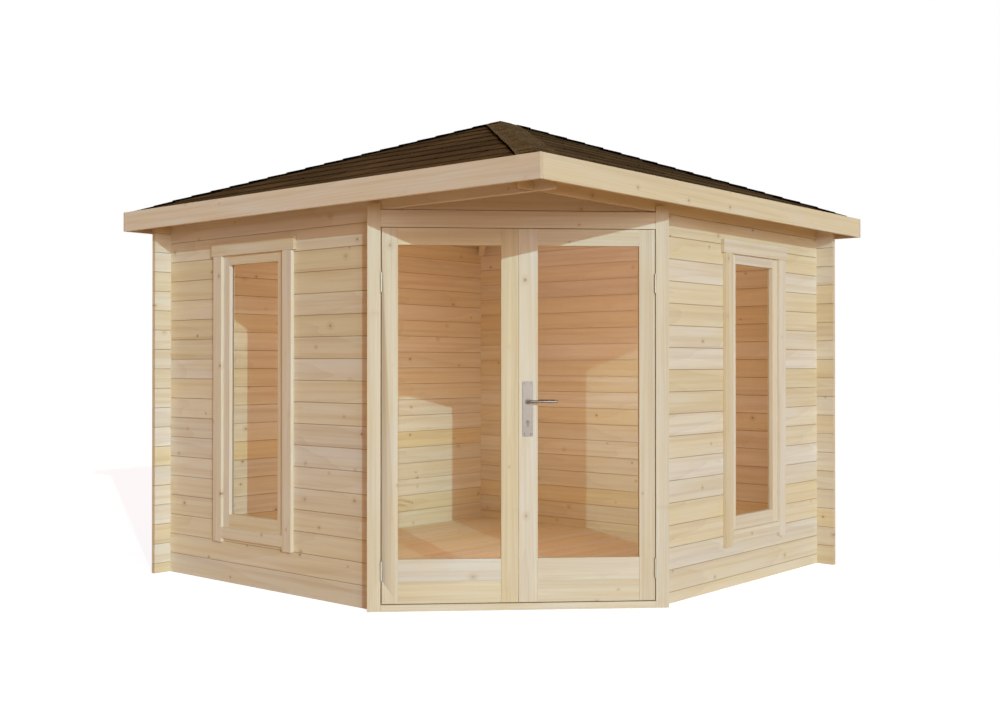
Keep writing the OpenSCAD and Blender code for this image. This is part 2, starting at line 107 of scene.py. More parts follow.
# Planed spruce: untreated softwood, pale and matt, with soft growth lines and a few knots
spruce = dict(
    pale="#EEE4D4", straw="#EBD5A6", rosy="#ECD9C0", late="#C9A677", knot="#94592C", knotHalo="#C8A375",
    groove="#94653A", endGrain="#D8BC94",
    ringPitch=0.0085,  # real rings are 2 to 4 mm, drawn coarser so that they show
    warp=0.014, taper=0.009,  # how far the rings wander, and how much a trunk thins over a metre
    knotCell=(0.4, 0.1),  # the length and width of wood that hold one knot place
    knotSize=(0.003, 0.008), knotShare=0.42,  # radii, and the share of places that have a knot
    cloud=0.25, rosyShare=0.45, streakShare=0.42, lateShare=0.17, endShare=0.55, haloShare=0.30,
    tone=0.045, roughness=0.62)


# One group makes the wood's colour and height from a place in the trunk, measured in metres
def makeSpruceGroup():
    group = bpy.data.node_groups.new("spruceGrain", "ShaderNodeTree")
    for name, way, kind in (("Place", "INPUT", "Vector"), ("Seed", "INPUT", "Float"), ("End", "INPUT", "Float"),
                            ("Color", "OUTPUT", "Color"), ("Height", "OUTPUT", "Float")):
        group.interface.new_socket(name, in_out=way, socket_type="NodeSocket" + kind)
    inside = addNode(group, "NodeGroupInput")
    place, seed, end = inside.outputs[0], inside.outputs[1], inside.outputs[2]

    draw = addNode(group, "ShaderNodeTexWhiteNoise", {"noise_dimensions": "1D"}, {"W": seed})
    drawn = addNode(group, "ShaderNodeSeparateColor", {}, {0: draw.outputs["Color"]})
    chanceA, chanceB, chanceC = drawn.outputs[0], drawn.outputs[1], drawn.outputs[2]

    # slow warp, so that the growth lines wander along the board
    slow = addNode(group, "ShaderNodeVectorMath", {"operation": "MULTIPLY", 1: (1.1, 7, 7)}, {0: place})
    warp = addNode(group, "ShaderNodeTexNoise", {"Scale": 1.0, "Detail": 2.0}, {"Vector": slow.outputs[0]})
    warpMid = addNode(group, "ShaderNodeVectorMath", {"operation": "SUBTRACT", 1: (0.5, 0.5, 0.5)},
                      {0: warp.outputs["Color"]})
    warpBy = addNode(group, "ShaderNodeVectorMath", {"operation": "MULTIPLY", 1: (0, spruce["warp"], spruce["warp"])},
                     {0: warpMid.outputs[0]})
    bent = addNode(group, "ShaderNodeVectorMath", {"operation": "ADD"}, {0: place, 1: warpBy.outputs[0]})
    bentParts = addNode(group, "ShaderNodeSeparateXYZ", {}, {0: bent.outputs[0]})
    parts = addNode(group, "ShaderNodeSeparateXYZ", {}, {0: place})

    # knots: the nearest knot place of a stretched cell pattern, measured back in metres
    cellA, cellW = spruce["knotCell"]
    cells = addNode(group, "ShaderNodeVectorMath", {"operation": "MULTIPLY", 1: (1 / cellA, 1 / cellW, 0)},
                    {0: place})
    offset = addNode(group, "ShaderNodeCombineXYZ", {}, {0: chanceA, 1: chanceB})
    offsetBy = addNode(group, "ShaderNodeVectorMath", {"operation": "SCALE", "Scale": 40.0},
                       {0: offset.outputs[0]})
    shifted = addNode(group, "ShaderNodeVectorMath", {"operation": "ADD"},
                      {0: cells.outputs[0], 1: offsetBy.outputs[0]})
    knots = addNode(group, "ShaderNodeTexVoronoi", {"voronoi_dimensions": "2D", "Scale": 1.0, "Randomness": 0.85},
                    {"Vector": shifted.outputs[0]})
    toKnot = addNode(group, "ShaderNodeVectorMath", {"operation": "SUBTRACT"},
                     {0: shifted.outputs[0], 1: knots.outputs["Position"]})
    toKnotM = addNode(group, "ShaderNodeVectorMath", {"operation": "MULTIPLY", 1: (cellA * 0.8, cellW, 0)},
                      {0: toKnot.outputs[0]})
    away = addNode(group, "ShaderNodeVectorMath", {"operation": "LENGTH"}, {0: toKnotM.outputs[0]})
    knotDraw = addNode(group, "ShaderNodeSeparateColor", {}, {0: knots.outputs["Color"]})
    knotRadius = addNode(group, "ShaderNodeMapRange", {"From Min": 0.0, "From Max": 1.0,
                         "To Min": spruce["knotSize"][0], "To Max": spruce["knotSize"][1]},
                         {"Value": knotDraw.outputs[1]})
    isKnot = addNode(group, "ShaderNodeMath", {"operation": "LESS_THAN", 1: spruce["knotShare"]},
                     {0: knotDraw.outputs[0]})
    ratio = addNode(group, "ShaderNodeMath", {"operation": "DIVIDE"},
                    {0: away.outputs["Value"], 1: knotRadius.outputs[0]})
    core = addNode(group, "ShaderNodeMapRange", {"interpolation_type": "SMOOTHSTEP", "From Min": 1.25,
                   "From Max": 0.6, "To Min": 0.0, "To Max": 1.0}, {"Value": ratio.outputs[0]})
    halo = addNode(group, "ShaderNodeMapRange", {"interpolation_type": "SMOOTHSTEP", "From Min": 4.2,
                   "From Max": 0.9, "To Min": 0.0, "To Max": 1.0}, {"Value": ratio.outputs[0]})
    coreOn = addNode(group, "ShaderNodeMath", {"operation": "MULTIPLY"}, {0: core.outputs[0], 1: isKnot.outputs[0]})
    haloOn = addNode(group, "ShaderNodeMath", {"operation": "MULTIPLY"}, {0: halo.outputs[0], 1: isKnot.outputs[0]})

    # growth rings round a pith that lies off the board; the trunk's taper draws them out into long tongues
    pithW = addNode(group, "ShaderNodeMapRange", {"To Min": -0.10, "To Max": 0.10}, {"Value": chanceA})
    pithT = addNode(group, "ShaderNodeMapRange", {"To Min": 0.035, "To Max": 0.11}, {"Value": chanceB})
    fromW = addNode(group, "ShaderNodeMath", {"operation": "SUBTRACT"},
                    {0: bentParts.outputs[1], 1: pithW.outputs[0]})
    fromT = addNode(group, "ShaderNodeMath", {"operation": "ADD"}, {0: bentParts.outputs[2], 1: pithT.outputs[0]})
    radial = addNode(group, "ShaderNodeCombineXYZ", {}, {0: fromW.outputs[0], 1: fromT.outputs[0]})
    radius = addNode(group, "ShaderNodeVectorMath", {"operation": "LENGTH"}, {0: radial.outputs[0]})
    taper = addNode(group, "ShaderNodeMath", {"operation": "MULTIPLY_ADD", 1: spruce["taper"]},
                    {0: parts.outputs[0], 2: radius.outputs["Value"]})
    swirl = addNode(group, "ShaderNodeMath", {"operation": "MULTIPLY_ADD", 1: 0.02},
                    {0: haloOn.outputs[0], 2: taper.outputs[0]})
    turns = addNode(group, "ShaderNodeMath", {"operation": "DIVIDE", 1: spruce["ringPitch"]},
                    {0: swirl.outputs[0]})
    ring = addNode(group, "ShaderNodeMath", {"operation": "FRACT"}, {0: turns.outputs[0]})
    lateWood = addNode(group, "ShaderNodeMath", {"operation": "POWER", 1: 3.0}, {0: ring.outputs[0]})

    # long streaks, broad and fine
    broadAt = addNode(group, "ShaderNodeVectorMath", {"operation": "MULTIPLY", 1: (0.5, 32, 32)}, {0: bent.outputs[0]})
    broad = addNode(group, "ShaderNodeTexNoise", {"Scale": 1.0, "Detail": 3.0, "Roughness": 0.6},
                    {"Vector": broadAt.outputs[0]})
    fineAt = addNode(group, "ShaderNodeVectorMath", {"operation": "MULTIPLY", 1: (6, 420, 420)}, {0: bent.outputs[0]})
    fine = addNode(group, "ShaderNodeTexNoise", {"Scale": 1.0, "Detail": 2.0}, {"Vector": fineAt.outputs[0]})

    # the colour in layers: pale to straw for each board, rosy clouds, streaks, rings, end grain and knots
    cloudAt = addNode(group, "ShaderNodeVectorMath", {"operation": "MULTIPLY", 1: (2.2, 14, 14)}, {0: bent.outputs[0]})
    cloud = addNode(group, "ShaderNodeTexNoise", {"Scale": 1.0, "Detail": 2.0}, {"Vector": cloudAt.outputs[0]})
    cloudBy = addNode(group, "ShaderNodeMapRange", {"From Min": 0.3, "From Max": 0.7,
                      "To Min": -spruce["cloud"], "To Max": spruce["cloud"]}, {"Value": cloud.outputs["Fac"]})
    strawBy = addNode(group, "ShaderNodeMath", {"operation": "ADD", "use_clamp": True},
                      {0: chanceC, 1: cloudBy.outputs[0]})
    hueMix = addNode(group, "ShaderNodeMix", {"data_type": "RGBA", 6: linear(spruce["pale"]),
                     7: linear(spruce["straw"])}, {0: strawBy.outputs[0]})
    rosyBy = addNode(group, "ShaderNodeMath", {"operation": "MULTIPLY", 1: spruce["rosyShare"]},
                     {0: cloud.outputs["Fac"]})
    rosy = addNode(group, "ShaderNodeMix", {"data_type": "RGBA", 7: linear(spruce["rosy"])},
                   {0: rosyBy.outputs[0], 6: hueMix.outputs[2]})
    broadBy = addNode(group, "ShaderNodeMapRange", {"From Min": 0.45, "From Max": 0.75,
                      "To Max": spruce["streakShare"]}, {"Value": broad.outputs["Fac"]})
    streaked = addNode(group, "ShaderNodeMix", {"data_type": "RGBA", 7: linear(spruce["late"])},
                       {0: broadBy.outputs[0], 6: rosy.outputs[2]})
    lateBy = addNode(group, "ShaderNodeMath", {"operation": "MULTIPLY", 1: spruce["lateShare"]},
                     {0: lateWood.outputs[0]})
    ringed = addNode(group, "ShaderNodeMix", {"data_type": "RGBA", 7: linear(spruce["late"])},
                     {0: lateBy.outputs[0], 6: streaked.outputs[2]})
    endBy = addNode(group, "ShaderNodeMath", {"operation": "MULTIPLY", 1: spruce["endShare"]}, {0: end})
    ended = addNode(group, "ShaderNodeMix", {"data_type": "RGBA", 7: linear(spruce["endGrain"])},
                    {0: endBy.outputs[0], 6: ringed.outputs[2]})
    haloBy = addNode(group, "ShaderNodeMath", {"operation": "MULTIPLY", 1: spruce["haloShare"]},
                     {0: haloOn.outputs[0]})
    haloed = addNode(group, "ShaderNodeMix", {"data_type": "RGBA", 7: linear(spruce["knotHalo"])},
                     {0: haloBy.outputs[0], 6: ended.outputs[2]})
    knotBy = addNode(group, "ShaderNodeMapRange", {"To Min": 0.15, "To Max": 0.8}, {"Value": knotDraw.outputs[2]})
    coreBy = addNode(group, "ShaderNodeMath", {"operation": "MULTIPLY"}, {0: coreOn.outputs[0], 1: knotBy.outputs[0]})
    knotted = addNode(group, "ShaderNodeMix", {"data_type": "RGBA", 7: linear(spruce["knot"])},
                      {0: coreBy.outputs[0], 6: haloed.outputs[2]})
    toneBy = addNode(group, "ShaderNodeMapRange", {"To Min": 1 - spruce["tone"], "To Max": 1.02}, {"Value": chanceA})
    fineBy = addNode(group, "ShaderNodeMapRange", {"To Min": 0.93, "To Max": 1.06}, {"Value": fine.outputs["Fac"]})
    both = addNode(group, "ShaderNodeMath", {"operation": "MULTIPLY"}, {0: toneBy.outputs[0], 1: fineBy.outputs[0]})
    toned = addNode(group, "ShaderNodeVectorMath", {"operation": "SCALE"},
                    {0: knotted.outputs[2], "Scale": both.outputs[0]})

    # the fine streaks and late wood stand up a little, the knots lie lower
    heightA = addNode(group, "ShaderNodeMath", {"operation": "MULTIPLY_ADD", 1: 0.6},
                      {0: fine.outputs["Fac"], 2: lateWood.outputs[0]})
    height = addNode(group, "ShaderNodeMath", {"operation": "SUBTRACT"}, {0: heightA.outputs[0], 1: coreOn.outputs[0]})
    addNode(group, "NodeGroupOutput", {}, {0: toned.outputs[0], 1: height.outputs[0]})
    return group


# Ends a wood material: the group's colour, darkened in the joints where a shade is given, and its height as bump
def finishWood(tree, group, place, seed, end, shade=None):
    wood = addNode(tree, "ShaderNodeGroup", {"node_tree": group})
    for name, source in (("Place", place), ("Seed", seed), ("End", end)):
        tree.links.new(source, wood.inputs[name])
    colour = wood.outputs["Color"]
    if shade is not None:
        dark = addNode(tree, "ShaderNodeMix", {"data_type": "RGBA", 7: linear(spruce["groove"])},
                       {0: shade, 6: colour})
        colour = dark.outputs[2]
    bump = addNode(tree, "ShaderNodeBump", {"Strength": 0.35, "Distance": 0.0006}, {"Height": wood.outputs["Height"]})
    shader = addNode(tree, "ShaderNodeBsdfPrincipled", {"Roughness": spruce["roughness"], "Specular IOR Level": 0.35},
                     {"Base Color": colour, "Normal": bump.outputs[0]})
    addNode(tree, "ShaderNodeOutputMaterial", {}, {"Surface": shader.outputs[0]})


# Logs: each course is its own trunk, found from its height, and its joints hold a thin dark line
log = dict(height=0.114, joint=(0.0548, 0.0566), jointShade=0.7)  # joint: distances from a log's middle


def makeLogWood(name, axis, phase, wall):
    material, tree = newMaterial(name)
    at = addNode(tree, "ShaderNodeTexCoord")
    xyz = addNode(tree, "ShaderNodeSeparateXYZ", {}, {0: at.outputs["Object"]})
    courses = addNode(tree, "ShaderNodeMath", {"operation": "MULTIPLY_ADD", 1: 1 / log["height"],
                      2: phase / log["height"]}, {0: xyz.outputs[2]})
    course = addNode(tree, "ShaderNodeMath", {"operation": "FLOOR"}, {0: courses.outputs[0]})
    within = addNode(tree, "ShaderNodeMath", {"operation": "FRACT"}, {0: courses.outputs[0]})
    width = addNode(tree, "ShaderNodeMath", {"operation": "MULTIPLY_ADD", 1: log["height"], 2: -log["height"] / 2},
                    {0: within.outputs[0]})
    seed = addNode(tree, "ShaderNodeMath", {"operation": "MULTIPLY_ADD", 1: 1.37, 2: wall * 41.3},
                   {0: course.outputs[0]})
    along = addNode(tree, "ShaderNodeMath", {"operation": "MULTIPLY_ADD", 1: 5.3},
                    {0: course.outputs[0], 2: xyz.outputs[axis]})
    place = addNode(tree, "ShaderNodeCombineXYZ", {},
                    {0: along.outputs[0], 1: width.outputs[0], 2: xyz.outputs[1 - axis]})
    facing = addNode(tree, "ShaderNodeSeparateXYZ", {}, {0: at.outputs["Normal"]})
    onEnd = addNode(tree, "ShaderNodeMath", {"operation": "ABSOLUTE"}, {0: facing.outputs[axis]})
    end = addNode(tree, "ShaderNodeMath", {"operation": "GREATER_THAN", 1: 0.7}, {0: onEnd.outputs[0]})
    fromMid = addNode(tree, "ShaderNodeMath", {"operation": "ABSOLUTE"}, {0: width.outputs[0]})
    joint = addNode(tree, "ShaderNodeMapRange", {"From Min": log["joint"][0], "From Max": log["joint"][1],
                    "To Max": log["jointShade"]}, {"Value": fromMid.outputs[0]})
    finishWood(tree, spruceGroup, place.outputs[0], seed.outputs[0], end.outputs[0], joint.outputs[0])
    return material


# Boards: the mesh carries each board's place in its trunk
def makeBoardWood(name):
    material, tree = newMaterial(name)
    place = addNode(tree, "ShaderNodeAttribute", {"attribute_name": "grainPlace"})
    seed = addNode(tree, "ShaderNodeAttribute", {"attribute_name": "boardSeed"})
    end = addNode(tree, "ShaderNodeAttribute", {"attribute_name": "boardEnd"})
    finishWood(tree, spruceGroup, place.outputs["Vector"], seed.outputs["Fac"], end.outputs["Fac"])
    return material


# Mineral-faced bitumen shingle: matt, rough brown granules on black felt
def makeBitumenShingle():
    # felt: the black of the cut felt, also used as painted shade on the cut edges
    granule = dict(dark="#4D3F2B", brown="#6D593E", tan="#8D7654", felt="#0E0906", size=0.003)  # grit is 1 to 2 mm
    material, tree = newMaterial("bitumenShingle")
    at = addNode(tree, "ShaderNodeTexCoord")
    tone = addNode(tree, "ShaderNodeAttribute", {"attribute_name": "tabTone"})
    edge = addNode(tree, "ShaderNodeAttribute", {"attribute_name": "feltEdgeAndShade"})
    grit = addNode(tree, "ShaderNodeTexVoronoi", {"Scale": 1 / granule["size"]}, {"Vector": at.outputs["Object"]})
    pick = addNode(tree, "ShaderNodeSeparateColor", {}, {0: grit.outputs["Color"]})
    cloud = addNode(tree, "ShaderNodeTexNoise", {"Scale": 9.0, "Detail": 4.0}, {"Vector": at.outputs["Object"]})
    warm = addNode(tree, "ShaderNodeMix", {"data_type": "RGBA", 6: linear(granule["dark"]),
                   7: linear(granule["brown"])}, {0: pick.outputs[0]})
    tanBy = addNode(tree, "ShaderNodeMapRange", {"From Min": 0.8, "From Max": 1.0, "To Max": 0.7},
                    {"Value": pick.outputs[1]})
    tan = addNode(tree, "ShaderNodeMix", {"data_type": "RGBA", 7: linear(granule["tan"])},
                  {0: tanBy.outputs[0], 6: warm.outputs[2]})
    cloudBy = addNode(tree, "ShaderNodeMapRange", {"To Min": 0.8, "To Max": 1.2}, {"Value": cloud.outputs["Fac"]})
    toneBy = addNode(tree, "ShaderNodeMapRange", {"To Min": 0.78, "To Max": 1.22, "clamp": False},
                     {"Value": tone.outputs["Fac"]})
    both = addNode(tree, "ShaderNodeMath", {"operation": "MULTIPLY"}, {0: cloudBy.outputs[0], 1: toneBy.outputs[0]})
    toned = addNode(tree, "ShaderNodeVectorMath", {"operation": "SCALE"}, {0: tan.outputs[2], "Scale": both.outputs[0]})
    # the cut edges are painted near-black: the felt's own black, and painted shade for the dark lines under the butts
    # and the raised cap edges
    edgedAndShaded = addNode(tree, "ShaderNodeMix", {"data_type": "RGBA", 7: linear(granule["felt"])},
                    {0: edge.outputs["Fac"], 6: toned.outputs[0]})
    bump = addNode(tree, "ShaderNodeBump", {"Strength": 0.12, "Distance": 0.001}, {"Height": pick.outputs[0]})
    shader = addNode(tree, "ShaderNodeBsdfPrincipled", {"Roughness": 0.95, "Specular IOR Level": 0.0},
                     {"Base Color": edgedAndShaded.outputs[2], "Normal": bump.outputs[0]})
    addNode(tree, "ShaderNodeOutputMaterial", {}, {"Surface": shader.outputs[0]})
    return material


# Float glass: clear and smooth; lamps and bounced light pass straight through it
def makeFloatGlass():
    material, tree = newMaterial("floatGlass")
    rays = addNode(tree, "ShaderNodeLightPath")
    face = addNode(tree, "ShaderNodeNewGeometry")
    leaving = addNode(tree, "ShaderNodeMath", {"operation": "MAXIMUM", 1: 0.95}, {0: face.outputs["Backfacing"]})
    bounced = addNode(tree, "ShaderNodeMath", {"operation": "MAXIMUM"},
                      {0: rays.outputs["Is Diffuse Ray"], 1: leaving.outputs[0]})
    through = addNode(tree, "ShaderNodeMath", {"operation": "MAXIMUM"},
                      {0: rays.outputs["Is Shadow Ray"], 1: bounced.outputs[0]})
    glass = addNode(tree, "ShaderNodeBsdfPrincipled", {"Base Color": linear("#F6FAF6"), "Roughness": 0.0,
                    "IOR": 1.5, "Transmission Weight": 1.0})
    clear = addNode(tree, "ShaderNodeBsdfTransparent", {"Color": linear("#F4F8F4")})
    mix = addNode(tree, "ShaderNodeMixShader", {}, {0: through.outputs[0], 1: glass.outputs[0], 2: clear.outputs[0]})
    addNode(tree, "ShaderNodeOutputMaterial", {}, {"Surface": mix.outputs[0]})
    return material


# Steel: metallic; the brush leaves fine upright lines, and zinc and plain turned steel a soft even grain
def makeSteel(name, colour, roughness, lines):
    material, tree = newMaterial(name)
    at = addNode(tree, "ShaderNodeTexCoord")
    stretch = addNode(tree, "ShaderNodeMapping", {"Scale": lines}, {"Vector": at.outputs["Object"]})
    brush = addNode(tree, "ShaderNodeTexNoise", {"Scale": 1.0, "Detail": 3.0}, {"Vector": stretch.outputs[0]})
    low, high = roughness
    rough = addNode(tree, "ShaderNodeMapRange", {"To Min": low, "To Max": high}, {"Value": brush.outputs["Fac"]})
    bump = addNode(tree, "ShaderNodeBump", {"Strength": 0.15, "Distance": 0.0002}, {"Height": brush.outputs["Fac"]})
    shader = addNode(tree, "ShaderNodeBsdfPrincipled", {"Base Color": linear(colour), "Metallic": 1.0},
                     {"Roughness": rough.outputs[0], "Normal": bump.outputs[0]})
    addNode(tree, "ShaderNodeOutputMaterial", {}, {"Surface": shader.outputs[0]})
    return material


spruceGroup = makeSpruceGroup()
boardWood = makeBoardWood("planedSpruceBoard")
# the side walls lie half a log off the front and back walls
logWoods = {}
for number, (name, axis, phase) in enumerate((("front", 0, 0), ("back", 0, 0), ("right", 1, log["height"] / 2),
                                              ("left", 1, log["height"] / 2))):
    logWoods[name + "_wall"] = makeLogWood("planedSpruce" + name.capitalize(), axis, phase, number + 1)
logWoods["front_beam"] = logWoods["front_wall"]
shingleFelt = makeBitumenShingle()
floatGlass = makeFloatGlass()
brushedSteel = makeSteel("brushedSteel", "#7F7065", (0.30, 0.44), (900, 900, 60))
zincSteel = makeSteel("zincPlatedSteel", "#B9AB97", (0.45, 0.60), (200, 200, 200))
plainSteel = makeSteel("plainSteel", "#7C7064", (0.45, 0.60), (200, 200, 200))
print("materials made")


# Links a finished shape as a piece that rides on a body
def finishPiece(name, shape, material, body, replaced=(), smooth=None):
    mesh = bpy.data.meshes.new(name)
    shape.to_mesh(mesh)
    shape.free()
    mesh.materials.append(material)
    if smooth is not None:
        mesh.shade_smooth()
        mesh.set_sharp_from_angle(angle=math.radians(smooth))
    piece = bpy.data.objects.new(name, mesh)
    bpy.context.scene.collection.objects.link(piece)
    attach(piece, body)
    if replaced:
        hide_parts(*replaced)
    return piece


# A CAD node's shape with its doubles merged and its flat faces joined
def cadCopy(name):
    shape = bmesh.new()
    shape.from_mesh(cadNodes[name].data)
    bmesh.ops.remove_doubles(shape, verts=shape.verts, dist=0.00002)
    bmesh.ops.dissolve_limit(shape, angle_limit=math.radians(0.5), verts=shape.verts, edges=shape.edges)
    return shape


# Moves one shape's mesh into another
def addShape(whole, part):
    mesh = bpy.data.meshes.new("part")
    part.to_mesh(mesh)
    part.free()
    whole.from_mesh(mesh)
    bpy.data.meshes.remove(mesh)


# Cuts away what lies beyond a plane and closes the cut
def cutAway(shape, spot, outward):
    cut = bmesh.ops.bisect_plane(shape, geom=shape.verts[:] + shape.edges[:] + shape.faces[:],
                                 plane_co=spot, plane_no=outward, clear_outer=True)
    rim = [e for e in cut["geom_cut"] if isinstance(e, bmesh.types.BMEdge)]
    if rim:
        bmesh.ops.edgeloop_fill(shape, edges=rim)


# Splits a shape into boards between planes at the given distances along a direction
def cutBoards(shape, direction, cuts, gap):
    whole = bmesh.new()
    for low, high in zip(cuts, cuts[1:]):
        part = shape.copy()
        for limit, outward in ((low + gap / 2, -direction), (high - gap / 2, direction)):
            cutAway(part, direction * limit, outward)
        addShape(whole, part)
    shape.free()
    bmesh.ops.recalc_face_normals(whole, faces=whole.faces)
    return whole


# Rounds the chosen edges, or else all sharp ones
def roundEdges(shape, width, segments=2, chosen=None):
    sharp = chosen or [e for e in shape.edges if e.is_manifold and e.calc_face_angle() > 0.5]
    bmesh.ops.bevel(shape, geom=sharp, offset=width, offset_type="OFFSET", segments=segments, profile=0.5,
                    affect="EDGES", clamp_overlap=True, material=-1)


# The vertices of each separate board or block in a shape
def islandsOf(shape):
    shape.verts.ensure_lookup_table()
    for vert in shape.verts:
        vert.tag = False
    for first in shape.verts:
        if first.tag:
            continue
        first.tag = True
        group, waiting = [first], [first]
        while waiting:
            for edge in waiting.pop().link_edges:
                for vert in edge.verts:
                    if not vert.tag:
                        vert.tag = True
                        group.append(vert)
                        waiting.append(vert)
        yield group


# Writes each board's own place in a trunk: x along the grain, y across the face, z through it
def layGrain(shape):
    place = shape.verts.layers.float_vector.new("grainPlace")
    seed = shape.verts.layers.float.new("boardSeed")
    onEnd = shape.faces.layers.float.new("boardEnd")
    shape.edges.index_update()
    shape.faces.index_update()
    for group in islandsOf(shape):
        edges = {e for v in group for e in v.link_edges}
        longest = max(edges, key=lambda e: (round(e.calc_length(), 5), -e.index))
        grain = (longest.verts[1].co - longest.verts[0].co).normalized()
        broadest = max({f for v in group for f in v.link_faces},
                       key=lambda f: (round(f.calc_area() * (1 - abs(f.normal.dot(grain))), 7), -f.index))
        side = broadest.normal.cross(grain).normalized()
        middle = sum((v.co for v in group), Vector()) / len(group)
        shift, number = random.uniform(0, 60), random.uniform(0, 500)
        for vert in group:
            at = vert.co - middle
            vert[place] = Vector((at.dot(grain) + shift, at.dot(side), at.dot(grain.cross(side))))
            vert[seed] = number
        for face in {f for v in group for f in v.link_faces}:
            face[onEnd] = 1.0 if abs(face.normal.dot(grain)) > 0.7 else 0.0


# A CAD node's boards with their edges eased
def dressBoards(name, piece, ease, shape=None, chosen=None):
    shape = shape or cadCopy(name)
    roundEdges(shape, ease, 2, chosen)
    layGrain(shape)
    return finishPiece(piece, shape, boardWood, cadNodes[name]["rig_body"], [name])


for name, wood in logWoods.items():
    cadNodes[name].data.materials.clear()
    cadNodes[name].data.materials.append(wood)

boards = dict(ease=0.002, deckBoard=0.096, deckGap=0.0012, deckEase=0.0022, floorBoard=0.088, floorGap=0.001,
              floorEase=0.001, beyond=0.01)  # beyond: how far the outermost cuts lie off the boards
for name, piece, slot in (
        ("door_posts", "doorPosts", "trim_wood"),
        ("threshold", "doorThreshold", "trim_wood"), ("corner_boards", "cornerBoards", "log_wood"),
        ("front_window_casing", "frontWindowCasing", "trim_wood"),
        ("front_window_sill", "frontWindowSill", "trim_wood"),
        ("right_window_casing", "rightWindowCasing", "trim_wood"),
        ("right_window_sill", "rightWindowSill", "trim_wood"),
        ("front_fascia", "frontFascia", "trim_wood"), ("right_fascia", "rightFascia", "trim_wood"),
        ("back_fascia", "backFascia", "trim_wood"), ("left_fascia", "leftFascia", "trim_wood"),
        ("hip_rafters", "hipRafters", "roof_wood"), ("apex_block", "apexBlock", "roof_wood"),
        ("floor_bearers", "floorBearers", "floor_wood"),
        ("left_door_panel", "leftDoorPanel", "trim_wood"), ("right_door_panel", "rightDoorPanel", "trim_wood")):
    dressBoards(name, piece, boards["ease"])

# the leaves meet with a narrow gap, and reach a little higher, as planed edges leave them
leaf = dict(thick=0.034, leftShift=-0.0022, rightShift=-0.006, meeting=0.008, rise=0.0022, lintelDrop=-0.003)
for side in ("left", "right"):
    name = side + "_door_frame"
    shape = cadCopy(name)
    shape.transform(doorPlace.inverted())
    bmesh.ops.translate(shape, vec=(leaf[side + "Shift"], 0, 0),
                        verts=[v for v in shape.verts if abs(v.co.x) < leaf["meeting"]])
    top = max(v.co.z for v in shape.verts)
    bmesh.ops.translate(shape, vec=(0, 0, leaf["rise"]), verts=[v for v in shape.verts if v.co.z > top - 0.001])
    outer = [e for e in shape.edges if e.is_manifold and e.calc_face_angle() > 0.5 and e.calc_length() > 0.03
             and any(all(abs(v.co.y - skin) < 0.0001 for v in e.verts) for skin in (0, leaf["thick"]))]
    shape.transform(doorPlace)
    dressBoards(name, side + "DoorFrame", boards["ease"], shape, outer)

# the lintel stops short of the boards above it
lintel = cadCopy("lintel")
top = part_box("lintel")[1].z
bmesh.ops.translate(lintel, vec=(0, 0, leaf["lintelDrop"]), verts=[v for v in lintel.verts if v.co.z > top - 0.001])
dressBoards("lintel", "doorLintel", boards["ease"], lintel)

# window frames: two stiles with the rails between them
window = dict(rebate=0.007, ease=0.0015, gap=0.0006)
for side, axis in (("front", Vector((1, 0, 0))), ("right", Vector((0, 1, 0)))):
    name = side + "_window_frame"
    low, high = (corner.dot(axis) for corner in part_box(name))
    glassLow, glassHigh = (corner.dot(axis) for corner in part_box(side + "_window_glass"))
    cuts = [low - boards["beyond"], glassLow + window["rebate"], glassHigh - window["rebate"], high + boards["beyond"]]
    dressBoards(name, side + "WindowFrame", window["ease"],
                cutBoards(cadCopy(name), axis, cuts, window["gap"]))

# roof boards run level from hip to hip
sides = ("front", "right", "back", "left")
quarterTurns = [Matrix.Rotation(math.radians(90 * side), 3, "Z") for side in range(4)]
for side, turn in zip(sides, quarterTurns):
    name = side + "_deck"
    upSlope = turn @ frontSlope
    reach = [v.co.dot(upSlope) for v in cadNodes[name].data.vertices]
    count = math.ceil((max(reach) - min(reach)) / boards["deckBoard"])
    cuts = [min(reach) + boards["deckBoard"] * i for i in range(count + 1)]
    cuts[0] -= boards["beyond"]
    cuts[-1] += boards["beyond"]
    dressBoards(name, side + "RoofBoards", boards["deckEase"],
                cutBoards(cadCopy(name), upSlope, cuts, boards["deckGap"]))

# floor boards run from front to back
low, high = (corner.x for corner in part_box("floor"))
count = round((high - low) / boards["floorBoard"])
cuts = [low + (high - low) * i / count for i in range(count + 1)]
cuts[0] -= boards["beyond"]
cuts[-1] += boards["beyond"]
dressBoards("floor", "floorBoards", boards["floorEase"],
            cutBoards(cadCopy("floor"), Vector((1, 0, 0)), cuts, boards["floorGap"]))
print("boards laid")

# the shingles: run is a course's width on plan, bed the share of a shingle's thickness that lifts its foot
shingle = dict(run=0.187, first=0.142, thick=0.0065, tab=0.333, slot=0.007, overlap=0.03, bed=0.8, spare=0.05,
               stagger=((0.0, 0.2), (0.05, 0.3)), wobble=(-0.0003, 0.0006), buttShade=0.5, hipGap=0.0005)


# An empty felt shape with a tone for each shingle and a mark for its cut edges, where the felt's black and painted
# shade go
def newFelt():
    shape = bmesh.new()
    return shape, shape.verts.layers.float.new("tabTone"), shape.faces.layers.float.new("feltEdgeAndShade")


# Marks the cut edges of the felt, painted near-black both for the felt's own black and as painted shade along them;
# those that face along the given way show it less
def markFeltEdgeShade(shape, layer, way=Vector(), share=1.0):
    for face in shape.faces:
        face.normal_update()
        ofEdge = share if abs(face.normal.dot(way)) > 0.7 else 1.0
        face[layer] = ofEdge if abs(face.normal.z) < 0.8 else 0.0


